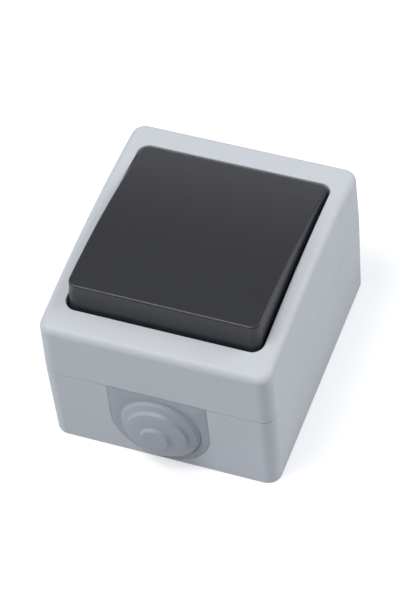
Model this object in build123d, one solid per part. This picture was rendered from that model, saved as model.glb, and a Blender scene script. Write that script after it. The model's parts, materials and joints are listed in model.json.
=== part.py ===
from build123d import *

import os
from math import cos, radians, sin, tan

# Surface mounted rocker switch for damp rooms, lying on its back.
# The origin is the centre of the wall face and +Z points away from the wall.
# The cable entry is at the -Y end, and the rocker rests with that end raised.
# All sizes are in millimetres and degrees.

# Housing
body_width = 66.0
body_length = 77.2
seam_height = 27.9
seam_gap = 0.15
cover_end_height = 46.0
cover_crown = 2.4
base_draft = 0.74
cover_draft = 0.77
corner_radius = 4.0
cover_edge_radius = 2.4
seam_edge_radius = 0.4
foot_edge_radius = 0.4
wall = 2.2
floor_thickness = 2.6
back_land = 3.4
back_recess = 0.6

# Lipped joint between the base and the cover
lip_wall = 1.0
lip_clearance = 0.2
upstand_height = 3.2
gasket_height = 1.2

# Opening and tray of the cover
frame_side = 5.1
frame_end = 8.4
opening_radius = 3.3
opening_edge_radius = 0.35
cover_top_wall = 2.4
tray_wall = 1.6
tray_thickness = 1.8
tray_clearance = 0.4

# Rocker, with heights above its pivot when level
tilt = 7.5
pivot_depth = 1.5
rocker_side_gap = 0.65
rocker_end_gap = 0.75
rocker_rise = 8.5
rocker_crown = 2.4
rocker_skirt = 5.0
rocker_draft = 1.0
rocker_corner = 2.8
rocker_edge = 0.7
rocker_wall = 1.6
rocker_top_wall = 1.8
rib_thickness = 1.2
rib_place_x = 12.0
rib_place_y = 19.5
rib_depth = 3.4

# Cradle that the rocker clips onto
platform_width = 33.0
platform_length = 23.0
platform_thickness = 1.8
platform_bottom = 3.9
platform_corner = 2.0
clip_width = 5.0
clip_thickness = 1.3
clip_catch = 0.8
clip_height = 1.1
clip_spacing = 18.0
clip_clearance = 0.1
hub_radius = 3.4
hub_gap = 0.3
tube_radius = 3.2
tube_length = 13.2
pin_radius = 1.5
pin_clearance = 0.05

# Sprung plunger inside the cradle
plunger_radius = 2.0
plunger_clearance = 0.08
plunger_head = 5.2
plunger_neck_radius = 1.3
plunger_gap = 0.3
spring_wire = 0.45
spring_turns = 6
spring_seat = 3.0

# Mechanism frame
frame_drop = 1.2
frame_thickness = 2.0
ear_gap = 12.4
ear_thickness = 2.0
ear_half_length = 4.5
ear_crown = 3.4
arm_slot_width = 8.4
arm_slot_length = 13.0
lug_drop = 2.0
lug_thickness = 2.0
lug_reach = 5.2
lug_radius = 3.8
snap_width = 4.0
snap_thickness = 1.2
snap_length = 7.0
snap_catch = 0.8
snap_spacing = 20.0
screw_access_gap = 0.3
arm_slot_corner = 1.0

# Mechanism body
mechanism_side_space = 13.0
mechanism_end_space = 20.6
mechanism_height = 16.0
mechanism_corner = 2.0
chamber_width = 8.4
chamber_end_gap = 0.8
chamber_depth = 8.0
chamber_corner = 1.0
terminal_pocket = 8.2
terminal_pocket_depth = 13.0
terminal_pocket_corner = 0.6
terminal_inset = 7.2
wire_hole_radius = 1.6
fit_clearance = 0.1

# Contact bridge and strips
bridge_tilt = 8.0
bridge_width = 5.0
bridge_length = 23.0
bridge_thickness = 0.8
bridge_cheek = 0.6
bridge_cheek_drop = 1.4
knife_height = 2.8
contact_radius = 1.5
contact_offset = 10.4
contact_rim = 0.4
contact_dome = 0.3
contact_gap = 0.1
strip_width = 5.0
strip_thickness = 1.0
fixed_contact_radius = 1.7

# Terminal clamps and their screws
clamp_size = 7.6
clamp_height = 9.0
clamp_wall = 1.2
clamp_roof = 1.8
clamp_screw_radius = 1.7
clamp_head_radius = 2.9
clamp_head_height = 2.0
clamp_lift = 0.6
slot_width = 0.8
slot_depth = 0.9

# Fastening screws of the mechanism and the cover
screw_radius = 1.5
screw_head_radius = 2.8
screw_head_height = 1.8
screw_hole_radius = 1.8
screw_bite = 0.02
mechanism_screw_length = 10.0
cover_screw_length = 13.0
screw_pilot_extra = 2.0
mechanism_boss_radius = 3.6
cover_boss_radius = 4.0
cover_screw_inset_x = 7.4
cover_screw_inset_y = 6.6
screw_seal_height = 0.8
screw_seal_pocket = 0.6

# Wall fixing and knock-outs
wall_hole_spacing_x = 40.0
wall_hole_spacing_y = 50.0
wall_hole_radius = 2.2
wall_boss_radius = 5.0
wall_boss_height = 1.4
knockout_radius = 9.5
knockout_groove = 1.0
knockout_depth = 1.0

# Cable entry
recess_depth = 3.0
recess_margin = 0.6
recess_cut = 1.1
entry_wall = 1.6
entry_ledge = 4.6
grommet_plate_sink = 0.12
grommet_plate_gap = 0.12
grommet_flange_gap = 2.9
grommet_flange_rise = 0.5
grommet_flange_slope = 1.0
grommet_step_inset = 2.15
grommet_step = 1.2
grommet_step_slope = 0.7
grommet_tip_radius = 4.6
grommet_tip = 1.0
grommet_skin = 1.1
grommet_inner_flange = 1.5
grommet_inner_grip = 1.0
grommet_round = 0.5

# Seal between the cover's window and the cradle
seal_inner_width = 21.0
seal_inner_length = 13.6
seal_skin = 0.9
seal_fold = 1.3
seal_folds = 3
seal_flange = 2.4
seal_flange_height = 1.1
seal_lip = 0.9
seal_top_gap = 0.1
seal_corner = 3.0

# Earth terminal beside the mechanism
earth_width = 6.4
earth_length = 9.0
earth_height = 8.0
earth_pedestal = 9.0
earth_y = 12.4
earth_hole_radius = 1.9
earth_clearance = 0.4
earth_cheek = 1.2

# How far cutting shapes run past what they cut, and joined shapes run into each other
past = 1.0

# Heights and places that follow from the sizes above
cover_bottom = seam_height + seam_gap
cover_crest = cover_end_height + cover_crown
boss_low = floor_thickness - past
upstand_top = seam_height + upstand_height
rebate_top = upstand_top + gasket_height
opening_width = body_width - 2 * frame_side
opening_length = body_length - 2 * frame_end
pivot_height = cover_end_height - pivot_depth
rocker_edge_height = rocker_rise - rocker_crown
rocker_spread = (rocker_edge_height + rocker_skirt) * tan(radians(rocker_draft))
rocker_foot_width = opening_width - 2 * rocker_side_gap
rocker_foot_length = opening_length - 2 * rocker_end_gap
rocker_half = rocker_foot_length / 2
skirt_low = rocker_half * sin(radians(tilt)) + rocker_skirt * cos(radians(tilt))
tray_top = pivot_height - skirt_low - tray_clearance
tray_bottom = tray_top - tray_thickness
frame_top = tray_bottom - frame_drop
mechanism_top = frame_top - frame_thickness
mechanism_bottom = mechanism_top - mechanism_height
mechanism_width = body_width - 2 * mechanism_side_space
mechanism_length = body_length - 2 * mechanism_end_space
terminal_offset = mechanism_width / 2 - terminal_inset
chamber_floor = mechanism_top - chamber_depth
strip_top = chamber_floor + strip_thickness
bridge_height = strip_top + knife_height
lug_top = frame_top - lug_drop
lug_bottom = lug_top - lug_thickness
lug_x = mechanism_width / 2 + lug_reach
platform_top = platform_bottom + platform_thickness
plunger_tip = pivot_height - bridge_height - bridge_thickness - plunger_gap
tube_bore = plunger_radius + plunger_clearance
cover_screw_x = opening_width / 2 - cover_screw_inset_x
cover_screw_y = opening_length / 2 - cover_screw_inset_y
recess_radius = (seam_height - recess_margin + recess_cut) / 2
entry_height = recess_margin + recess_radius
entry_radius = recess_radius - entry_ledge
grommet_flange_radius = recess_radius - grommet_flange_gap
grommet_step_radius = grommet_flange_radius - grommet_step_inset
recess_floor = recess_depth - body_length / 2
terminal_y = contact_offset * cos(radians(bridge_tilt))
chamber_length = 2 * (terminal_y + strip_width / 2 + chamber_end_gap)
earth_x = (mechanism_width + body_width) / 4 - wall / 2


def outline_at(height, width, length, radius):
    """Rounded rectangle lying flat at one height."""
    return Pos(0, 0, height) * RectangleRounded(width, length, radius)


def block(width, length, low, high, x=0, y=0):
    """Plain block between two heights."""
    return Pos(x, y, (low + high) / 2) * Box(width, length, high - low)


def rod(radius, low, high, x=0, y=0):
    """Upright cylinder between two heights."""
    return Pos(x, y, (low + high) / 2) * Cylinder(radius, high - low)


def rounded_block(width, length, radius, low, high):
    """Block with upright rounded corners between two heights."""
    return extrude(outline_at(low, width, length, radius), amount=high - low)


def tapered_block(width, length, radius, low, high, draft, widest):
    """Rounded block whose walls lean in with the distance from its widest height."""
    ends = []
    for height in (low, high):
        inset = abs(height - widest) * tan(radians(draft))
        ends.append(outline_at(height, width - 2 * inset, length - 2 * inset, radius))
    return loft(ends)


def crown_tool(span, sag, crest, width, inset=0):
    """Cylinder along X whose top is a crown of that sag over a span along Y."""
    radius = (span ** 2 / 4 + sag ** 2) / (2 * sag)
    return Pos(0, 0, crest - radius) * Rot(0, 90, 0) * Cylinder(radius - inset, width)


def top_face(part):
    """Face whose centre lies highest."""
    return part.faces().sort_by(Axis.Z)[-1]


def rims(part, radius, height):
    """Circular edges of one radius at one height on an upright turned part."""
    found = []
    for edge in part.edges().filter_by(GeomType.CIRCLE):
        if abs(edge.radius - radius) < 1e-4 and abs(edge.arc_center.Z - height) < 1e-4:
            found.append(edge)
    return found


def screw(shank_radius, head_radius, head_height, shank_low, seat):
    """Slotted pan head screw, upright, with its head on the seat height."""
    head_top = seat + head_height
    body = rod(head_radius, seat, head_top)
    body = fillet(rims(body, head_radius, head_top), head_height / 3)
    body += rod(shank_radius, shank_low, seat)
    return body - block(3 * head_radius, slot_width, head_top - slot_depth, head_top + past)


def tilted_rocker(part):
    """Part of the rocker, turned from level to its rest with the near end raised."""
    return Pos(0, 0, pivot_height) * Rot(-tilt, 0, 0) * part


def tilted_bridge(part):
    """Part of the contact bridge, turned from level to its rest with the near end low."""
    return Pos(0, 0, bridge_height) * Rot(bridge_tilt, 0, 0) * part


def diagonal(part, x, y):
    """The same part at both ends of one diagonal."""
    return [Pos(x, y, 0) * part, Pos(-x, -y, 0) * part]


def recess_outline(radius, top):
    """Round-bottomed outline with straight sides up to a height, in the plane of the near wall."""
    round_end = Pos(0, entry_height) * Circle(radius)
    sides = Pos(0, (entry_height + top) / 2) * Rectangle(2 * radius, top - entry_height)
    below_top = Pos(0, top - 2 * radius) * Rectangle(4 * radius, 4 * radius)
    return (round_end + sides) & below_top


def near_wall_prism(outline, from_y, to_y):
    """Outline of the near wall carried along Y between two places."""
    wall_plane = Plane(origin=(0, to_y, 0), x_dir=(1, 0, 0), z_dir=(0, -1, 0))
    return extrude(wall_plane * outline, amount=to_y - from_y)


def make_base():
    """Wall box with its upstand, bosses, cable entry, fixing holes and knock-outs."""
    base = tapered_block(
        body_width, body_length, corner_radius, 0, seam_height, base_draft, seam_height
    )
    base = fillet(base.faces().sort_by(Axis.Z)[-1].edges(), seam_edge_radius)
    base = fillet(base.faces().sort_by(Axis.Z)[0].edges(), foot_edge_radius)
    upstand_inset = lip_wall + lip_clearance
    base += tapered_block(
        body_width - 2 * upstand_inset, body_length - 2 * upstand_inset,
        corner_radius - upstand_inset, seam_height - past, upstand_top, base_draft, seam_height
    )
    filled = base
    base -= tapered_block(
        body_width - 2 * wall, body_length - 2 * wall, corner_radius - wall,
        floor_thickness, upstand_top, base_draft, seam_height
    )

    pad_inner = recess_floor + entry_wall
    pad = near_wall_prism(recess_outline(recess_radius + wall, upstand_top), -body_length, pad_inner)
    base += pad & filled
    base -= near_wall_prism(recess_outline(recess_radius, seam_height), -body_length, recess_floor)
    base -= near_wall_prism(Pos(0, entry_height) * Circle(entry_radius), -body_length, pad_inner + past)

    for boss in diagonal(rod(cover_boss_radius, boss_low, tray_bottom), cover_screw_x, cover_screw_y):
        base += boss
    for side in (-1, 1):
        base += rod(mechanism_boss_radius, boss_low, lug_bottom, side * lug_x)
        base -= rod(
            screw_radius + screw_bite,
            lug_top - mechanism_screw_length - screw_pilot_extra, lug_bottom, side * lug_x
        )
    pilot_low = tray_top - cover_screw_length - screw_pilot_extra
    for pilot in diagonal(
        rod(screw_radius + screw_bite, pilot_low, tray_bottom), cover_screw_x, cover_screw_y
    ):
        base -= pilot

    wall_x = wall_hole_spacing_x / 2
    wall_y = wall_hole_spacing_y / 2
    boss_top = floor_thickness + wall_boss_height
    for boss in diagonal(rod(wall_boss_radius, boss_low, boss_top), -wall_x, wall_y):
        base += boss
    for hole in diagonal(rod(wall_hole_radius, -past, boss_top + past), -wall_x, wall_y):
        base -= hole

    base += earth_pedestal_block()
    base -= far_knockout()
    base -= back_hollow()
    return base


def earth_pedestal_block():
    """Pedestal with two side cheeks that hold the earth terminal."""
    outer_width = earth_width + 2 * (earth_cheek + fit_clearance)
    top = earth_pedestal + earth_height / 2
    holder = block(outer_width, earth_length, boss_low, top, earth_x, earth_y)
    return holder - block(
        earth_width + 2 * fit_clearance, earth_length + past, earth_pedestal, top + past, earth_x, earth_y
    )


def far_knockout():
    """Ring groove in the far wall round a disc that can be broken out."""
    ring = Circle(knockout_radius) - Circle(knockout_radius - knockout_groove)
    far_face = body_length / 2
    wall_plane = Plane(
        origin=(0, far_face + past, entry_height), x_dir=(1, 0, 0), z_dir=(0, -1, 0)
    )
    return extrude(wall_plane * ring, amount=past + knockout_depth)


def back_hollow():
    """Shallow hollow in the back that leaves a land round its edge and its holes."""
    inset = back_land + seam_height * tan(radians(base_draft))
    hollow = rounded_block(
        body_width - 2 * inset, body_length - 2 * inset, corner_radius, -past, back_recess
    )
    land = rod(wall_boss_radius, -2 * past, back_recess + past)
    for one_land in diagonal(land, -wall_hole_spacing_x / 2, wall_hole_spacing_y / 2):
        hollow -= one_land
    return hollow


def cover_shell():
    """Outer form of the cover, drafted, crowned along its length and rounded at the top."""
    shell = tapered_block(
        body_width, body_length, corner_radius, cover_bottom, cover_crest + past, cover_draft, seam_height
    )
    shell = shell & crown_tool(body_length, cover_crown, cover_crest, 2 * body_width)
    return fillet(top_face(shell).edges(), cover_edge_radius)


def make_cover():
    """Cover with a sunken tray under the rocker, a window for the seal and a lip."""
    shell = cover_shell()
    hollow = tapered_block(
        body_width - 2 * wall, body_length - 2 * wall, corner_radius - wall,
        cover_bottom - past, cover_crest + past, cover_draft, seam_height
    )
    hollow = hollow & crown_tool(
        body_length, cover_crown, cover_crest, 2 * body_width, cover_top_wall
    )
    rebate = tapered_block(
        body_width - 2 * lip_wall, body_length - 2 * lip_wall, corner_radius - lip_wall,
        cover_bottom - past, rebate_top, cover_draft, seam_height
    )
    rebate -= hollow
    tray = rounded_block(
        opening_width + 2 * tray_wall, opening_length + 2 * tray_wall,
        opening_radius + tray_wall, tray_bottom, cover_crest + past
    )
    cover = shell - hollow + (tray & shell) - rebate
    cover -= rounded_block(
        opening_width, opening_length, opening_radius, tray_top, cover_crest + past
    )
    opening_edges = top_face(cover).inner_wires()[0].edges()
    cover = fillet(opening_edges, opening_edge_radius)
    cover -= rounded_block(
        seal_inner_width + 2 * seal_skin + 2 * fit_clearance,
        seal_inner_length + 2 * seal_skin + 2 * fit_clearance,
        seal_corner + seal_skin + fit_clearance, tray_bottom - past, tray_top + past
    )
    hole = rod(screw_hole_radius, tray_bottom - past, tray_top + past)
    hole += rod(
        screw_head_radius + fit_clearance, tray_top - screw_seal_pocket, tray_top + past
    )
    for screw_hole in diagonal(hole, cover_screw_x, cover_screw_y):
        cover -= screw_hole
    return cover


def make_cover_gasket():
    """Ring seal between the base's upstand and the cover's rebate."""
    outer_inset = lip_wall + lip_clearance
    outline = RectangleRounded(
        body_width - 2 * outer_inset, body_length - 2 * outer_inset, corner_radius - outer_inset
    )
    lean = (upstand_top - seam_height) * tan(radians(base_draft))
    inner_inset = wall + lean
    outline -= RectangleRounded(
        body_width - 2 * inner_inset, body_length - 2 * inner_inset, corner_radius - wall
    )
    return extrude(Pos(0, 0, upstand_top) * outline, amount=gasket_height)


def make_cover_screws():
    """Two screws that hold the cover, hidden under the rocker."""
    seat = tray_top - screw_seal_pocket + screw_seal_height
    one = screw(screw_radius, screw_head_radius, screw_head_height, seat - cover_screw_length, seat)
    return diagonal(one, cover_screw_x, cover_screw_y)


def make_cover_screw_seals():
    """Sealing rings under the heads of the cover screws."""
    low = tray_top - screw_seal_pocket
    ring = rod(screw_head_radius, low, low + screw_seal_height)
    ring -= rod(screw_radius + fit_clearance, low - past, low + screw_seal_height + past)
    return diagonal(ring, cover_screw_x, cover_screw_y)


def make_grommet():
    """Plate that fills the recess, with a stepped, sloped and hollow membrane turned on it."""
    rim = recess_depth + grommet_flange_rise
    step_foot = rim + grommet_flange_slope
    step_top = step_foot + grommet_step
    tip_foot = step_top + grommet_step_slope
    tip_top = tip_foot + grommet_tip
    neck = entry_radius - fit_clearance
    inner_low = -entry_wall - grommet_inner_flange
    outside = Polyline(
        (0, inner_low), (neck, inner_low), (neck + grommet_inner_grip, -entry_wall),
        (neck, -entry_wall), (neck, 0), (grommet_flange_radius, 0), (grommet_flange_radius, rim),
        (grommet_step_radius, step_foot), (grommet_step_radius, step_top),
        (grommet_tip_radius, tip_foot), (grommet_tip_radius, tip_top), (0, tip_top), close=True
    )
    bore = neck - 2 * grommet_skin
    tip_bore = grommet_tip_radius - grommet_skin
    inside = Polyline(
        (0, inner_low - past), (bore, inner_low - past), (bore, step_top - grommet_skin),
        (tip_bore, tip_foot - grommet_skin), (tip_bore, tip_top - grommet_skin),
        (0, tip_top - grommet_skin), close=True
    )
    body = revolve(make_face(Plane.XZ * outside), Axis.Z)
    for radius, height in (
        (grommet_flange_radius, rim), (grommet_step_radius, step_top), (grommet_tip_radius, tip_top)
    ):
        body = fillet(rims(body, radius, height), grommet_round)
    plate = near_wall_prism(
        recess_outline(recess_radius - grommet_plate_gap, seam_height - grommet_plate_gap),
        -body_length, recess_floor
    )
    plate = plate & tapered_block(
        body_width, body_length - 2 * grommet_plate_sink, corner_radius, 0, seam_height,
        base_draft, seam_height
    )
    entry = Pos(0, recess_floor, entry_height) * Rot(90, 0, 0)
    grommet = entry * body + plate
    return grommet - entry * revolve(make_face(Plane.XZ * inside), Axis.Z)


def make_rocker():
    """Crowned and drafted rocker shell with ribs and clips underneath."""
    shell = tapered_block(
        rocker_foot_width, rocker_foot_length, rocker_corner,
        -rocker_skirt, rocker_rise + past, rocker_draft, -rocker_skirt
    )
    top_length = rocker_foot_length - 2 * rocker_spread
    shell = shell & crown_tool(top_length, rocker_crown, rocker_rise, 2 * body_width)
    shell = fillet(top_face(shell).edges(), rocker_edge)
    hollow = tapered_block(
        rocker_foot_width - 2 * rocker_wall, rocker_foot_length - 2 * rocker_wall,
        rocker_corner - rocker_wall, -rocker_skirt - past, rocker_rise + past, rocker_draft, -rocker_skirt
    )
    hollow = hollow & crown_tool(
        top_length, rocker_crown, rocker_rise, 2 * body_width, rocker_top_wall
    )
    ribs = []
    rib_low = platform_top - rib_depth
    for side in (-1, 1):
        ribs.append(block(rib_thickness, 2 * body_length, rib_low, rocker_rise, side * rib_place_x))
        ribs.append(
            block(2 * body_width, rib_thickness, rib_low, rocker_rise, 0, side * rib_place_y)
        )
    nest = block(
        platform_width + 2 * clip_clearance, platform_length + 2 * (clip_clearance + clip_thickness),
        -rocker_skirt, platform_top
    )
    rocker = shell - hollow
    for rib in ribs:
        rocker += (rib - nest) & hollow
    for clip in rocker_clips():
        rocker += clip & (hollow + nest)
    return tilted_rocker(rocker)


def rocker_clips():
    """Four hooks that grip the cradle's platform from below."""
    clips = []
    catch_low = platform_bottom - clip_clearance - clip_height
    edge = platform_length / 2 + clip_clearance
    hook = Polyline(
        (edge, catch_low), (edge - clip_catch, catch_low + clip_height),
        (edge, catch_low + clip_height), (edge, rocker_rise),
        (edge + clip_thickness, rocker_rise), (edge + clip_thickness, catch_low), close=True
    )
    profile = make_face(Plane.YZ * hook)
    one = extrude(profile, amount=clip_width / 2, both=True)
    for side in (-1, 1):
        hooked = Pos(side * clip_spacing / 2, 0, 0) * one
        clips.append(hooked)
        clips.append(mirror(hooked, Plane.XZ))
    return clips


def make_cradle():
    """Inner rocker with its platform, pivot hub and the tube of the sprung plunger."""
    hub_length = ear_gap - 2 * hub_gap
    cradle = Rot(0, 90, 0) * Cylinder(hub_radius, hub_length)
    cradle += block(hub_length, hub_radius * 2, 0, platform_bottom)
    cradle += rounded_block(
        platform_width, platform_length, platform_corner, platform_bottom, platform_top
    )
    cradle += rod(tube_radius, -tube_length, 0)
    cradle -= rod(tube_bore, -tube_length - past, -spring_seat)
    cradle -= Rot(0, 90, 0) * Cylinder(pin_radius + pin_clearance, 2 * ear_gap)
    return tilted_rocker(cradle)


def make_spring():
    """Compression spring between the cradle and the plunger."""
    mean_radius = plunger_radius - spring_wire
    low = -plunger_tip + plunger_radius + plunger_head + spring_wire / 2
    high = -spring_seat - spring_wire / 2
    path = Helix((high - low) / spring_turns, high - low, mean_radius)
    section = Plane(origin=path @ 0, z_dir=path % 0) * RegularPolygon(spring_wire / 2, 6)
    coil = sweep(section, path=path)
    return tilted_rocker(Pos(0, 0, low) * coil)


def make_plunger():
    """Plunger with a guided head and a round tip that rides on the contact bridge."""
    head_low = -plunger_tip + plunger_radius
    plunger = rod(plunger_radius, head_low, head_low + plunger_head)
    plunger += rod(plunger_neck_radius, -plunger_tip + plunger_neck_radius, head_low)
    plunger += Pos(0, 0, -plunger_tip + plunger_neck_radius) * Sphere(plunger_neck_radius)
    return tilted_rocker(plunger)


def make_pivot_pin():
    """Steel pin through the ears of the frame and the hub of the cradle."""
    length = ear_gap + 2 * ear_thickness
    pin = Pos(0, 0, pivot_height) * Rot(0, 90, 0) * Cylinder(pin_radius, length)
    return pin


def make_frame():
    """Mechanism frame with bearing ears, fixing lugs and snap arms for the body."""
    frame = rounded_block(
        mechanism_width, mechanism_length, mechanism_corner, mechanism_top, frame_top
    )
    ear_x = ear_gap / 2 + ear_thickness / 2
    shoulder = Pos(0, pivot_height - frame_top) * Circle(ear_crown)
    upright = make_hull(
        (shoulder.edges() + (Rectangle(2 * ear_half_length, 1).edges()))
    )
    ear = extrude(Plane.YZ * upright, amount=ear_thickness / 2, both=True)
    for side in (-1, 1):
        frame += Pos(side * ear_x, 0, frame_top) * ear
        frame += frame_lug(side)
        frame -= rod(screw_hole_radius, lug_bottom - past, frame_top + past, side * lug_x)
        for end in (-1, 1):
            frame += snap_arm(side * snap_spacing / 2, end)
    frame -= rounded_block(
        arm_slot_width, arm_slot_length, arm_slot_corner, mechanism_top - past, frame_top + past
    )
    for x, y in terminal_places():
        frame -= rod(clamp_head_radius + screw_access_gap, mechanism_top - past, frame_top + past, x, y)
    bore = Rot(0, 90, 0) * Cylinder(pin_radius, 2 * ear_gap)
    return frame - Pos(0, 0, pivot_height) * bore


def frame_lug(side):
    """Lowered lug with a step down from the plate."""
    edge = side * mechanism_width / 2
    step = block(
        frame_thickness, 2 * lug_radius, lug_bottom, frame_top, edge + side * frame_thickness / 2
    )
    tongue = block(lug_reach, 2 * lug_radius, lug_bottom, lug_top, edge + side * lug_reach / 2)
    return step + tongue + rod(lug_radius, lug_bottom, lug_top, side * lug_x)


def snap_arm(x, end):
    """Snap arm on the near or far edge of the frame, with a hook into the body."""
    inner = mechanism_length / 2 + fit_clearance
    low = mechanism_top - snap_length
    hook = Polyline(
        (inner, frame_top), (inner + snap_thickness, frame_top), (inner + snap_thickness, low),
        (inner, low), (inner - snap_catch, low + snap_catch), (inner, low + snap_catch),
        (inner, mechanism_top), (inner - past, mechanism_top), (inner - past, frame_top), close=True
    )
    arm = extrude(make_face(Plane.YZ * hook), amount=snap_width / 2, both=True)
    if end < 0:
        arm = mirror(arm, Plane.XZ)
    return Pos(x, 0, 0) * arm


def terminal_places():
    """Centres of the two way terminals and the common terminal."""
    return [(-terminal_offset, -terminal_y), (-terminal_offset, terminal_y), (terminal_offset, 0)]


def make_mechanism_body():
    """Insulating body with the contact chamber, terminal pockets and strip channels."""
    body = rounded_block(
        mechanism_width, mechanism_length, mechanism_corner, mechanism_bottom, mechanism_top
    )
    body -= rounded_block(
        chamber_width, chamber_length, chamber_corner, chamber_floor, mechanism_top + past
    )
    channel = strip_width + 2 * fit_clearance
    for x, y in terminal_places():
        body -= rounded_block_at(
            terminal_pocket, terminal_pocket, terminal_pocket_corner,
            mechanism_top - terminal_pocket_depth, mechanism_top + past, x, y
        )
        body -= block(abs(x), channel, chamber_floor, mechanism_top + past, x / 2, y)
        wire_hole = Rot(0, 90, 0) * Cylinder(wire_hole_radius, mechanism_width / 2)
        outer = x + mechanism_width / 4 * (1 if x > 0 else -1)
        body -= Pos(outer, y, chamber_floor - wire_hole_radius) * wire_hole
    notch_low = mechanism_top - snap_length - fit_clearance
    for side in (-1, 1):
        for end in (-1, 1):
            body -= block(
                snap_width + 4 * fit_clearance, 2 * snap_catch + 2 * fit_clearance,
                notch_low, notch_low + snap_catch + 2 * fit_clearance,
                side * snap_spacing / 2, end * mechanism_length / 2
            )
    return body


def rounded_block_at(width, length, radius, low, high, x, y):
    """Upright rounded block away from the middle."""
    return Pos(x, y, 0) * rounded_block(width, length, radius, low, high)


def make_mechanism_screws():
    """Two screws through the frame's lugs into the bosses of the base."""
    one = screw(
        screw_radius, screw_head_radius, screw_head_height, lug_top - mechanism_screw_length, lug_top
    )
    return [Pos(side * lug_x, 0, 0) * one for side in (-1, 1)]


def make_strip(x, y):
    """Flat contact strip that runs from under the bridge into a terminal."""
    inner_end = strip_width / 2
    outer_end = abs(x) + clamp_size / 2 - clamp_wall
    length = inner_end + outer_end
    side = 1 if x > 0 else -1
    middle = side * (outer_end - inner_end) / 2
    return block(length, strip_width, chamber_floor, strip_top, middle, y)


def make_common_strip():
    """Common strip with the knife edge that the contact bridge rocks on."""
    strip = make_strip(terminal_offset, 0)
    knife = Polyline(
        (-strip_thickness / 2, strip_top - strip_thickness),
        (-strip_thickness / 2, bridge_height - strip_thickness),
        (0, bridge_height - pin_clearance),
        (strip_thickness / 2, bridge_height - strip_thickness),
        (strip_thickness / 2, strip_top - strip_thickness), close=True
    )
    half_width = bridge_width / 2 - fit_clearance
    return strip + extrude(make_face(Plane.YZ * knife), amount=half_width, both=True)


def contact_button(radius):
    """Contact rivet head with a domed face, facing down from height zero."""
    sphere_radius = (radius ** 2 + contact_dome ** 2) / (2 * contact_dome)
    head = rod(radius, -contact_rim - contact_dome, 0)
    centre = -contact_rim - contact_dome + sphere_radius
    return head & (Pos(0, 0, centre) * Sphere(sphere_radius))


def make_fixed_contacts():
    """Flat contact heads on the two way strips."""
    angle = radians(bridge_tilt)
    reach = contact_rim + contact_dome
    lowest = bridge_height - contact_offset * sin(angle) - reach * cos(angle)
    sphere_radius = (contact_radius ** 2 + contact_dome ** 2) / (2 * contact_dome)
    lowest -= sphere_radius * (1 - cos(angle))
    head = rod(fixed_contact_radius, strip_top, lowest - contact_gap)
    return [Pos(0, end * terminal_y, 0) * head for end in (-1, 1)]


def make_bridge():
    """Seesaw contact bridge with cheeks that straddle the knife edge."""
    bridge = block(bridge_width, bridge_length, 0, bridge_thickness)
    for side in (-1, 1):
        x = side * (bridge_width + bridge_cheek) / 2
        bridge += block(bridge_cheek, bridge_width, -bridge_cheek_drop, bridge_thickness, x)
    return tilted_bridge(bridge)


def make_moving_contacts():
    """Domed contact buttons under both ends of the bridge."""
    button = contact_button(contact_radius)
    return [tilted_bridge(Pos(0, end * contact_offset, 0) * button) for end in (-1, 1)]


def make_clamp(x, y):
    """Box clamp of one terminal, open along the strip, with a threaded roof."""
    low = mechanism_top - terminal_pocket_depth + clamp_lift
    high = low + clamp_height
    clamp = block(clamp_size, clamp_size, low, high)
    clamp -= block(
        clamp_size + past, clamp_size - 2 * clamp_wall, low + clamp_wall, high - clamp_roof
    )
    clamp -= rod(clamp_screw_radius + screw_bite, high - clamp_roof - past, high + past)
    return Pos(x, y, 0) * clamp


def make_terminal_screws():
    """Clamping screws of the three terminals, each with its tip on the strip."""
    clamp_top = mechanism_top - terminal_pocket_depth + clamp_lift + clamp_height
    one = screw(
        clamp_screw_radius, clamp_head_radius, clamp_head_height, strip_top, clamp_top + clamp_lift
    )
    return [Pos(x, y, 0) * one for x, y in terminal_places()]


def seal_ring(width, length, radius, height, turn):
    """Outline of the seal at a height over the pivot, turned part of the way."""
    place = Pos(0, 0, pivot_height) * Rot(-turn, 0, 0) * Pos(0, 0, height)
    return place * RectangleRounded(width, length, radius)


def seal_body(grow):
    """Folded sleeve from the cover's tray to the cradle, grown by an offset."""
    bottom = tray_top + seal_flange_height - pivot_height
    top = platform_bottom - seal_top_gap
    count = 2 * seal_folds
    sections = []
    for index in range(count + 1):
        part_way = index / count
        bulge = seal_fold if index % 2 else 0
        extra = 2 * (grow + bulge)
        sections.append(
            seal_ring(
                seal_inner_width + extra, seal_inner_length + extra, seal_corner + grow + bulge,
                bottom + part_way * (top - bottom), tilt * part_way
            )
        )
    return loft(sections, ruled=True)


def make_seal():
    """Soft folded seal, plugged into the cover's window, round the frame's ears."""
    width = seal_inner_width + 2 * seal_skin
    length = seal_inner_length + 2 * seal_skin
    corner = seal_corner + seal_skin
    flange_top = tray_top + seal_flange_height
    seal = seal_body(seal_skin) - seal_body(0)
    foot = rounded_block(
        width + 2 * seal_flange, length + 2 * seal_flange, corner + seal_flange, tray_top, flange_top
    )
    foot += rounded_block(width, length, corner, tray_bottom - seal_lip, tray_top)
    foot += rounded_block(
        width + 2 * seal_lip, length + 2 * seal_lip, corner + seal_lip, tray_bottom - seal_lip, tray_bottom
    )
    foot -= rounded_block(
        seal_inner_width, seal_inner_length, seal_corner, tray_bottom - seal_lip - past, flange_top + past
    )
    return seal + foot


def make_earth_terminal():
    """Brass block with a wire hole through it and a threaded hole from above."""
    top = earth_pedestal + earth_height
    terminal = block(earth_width, earth_length, earth_pedestal, top)
    wire_height = earth_pedestal + earth_height / 2 - earth_clearance
    terminal -= Pos(0, 0, wire_height) * Rot(90, 0, 0) * Cylinder(earth_hole_radius, 2 * earth_length)
    terminal -= rod(clamp_screw_radius + screw_bite, wire_height, top + past)
    return Pos(earth_x, earth_y, 0) * terminal


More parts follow.
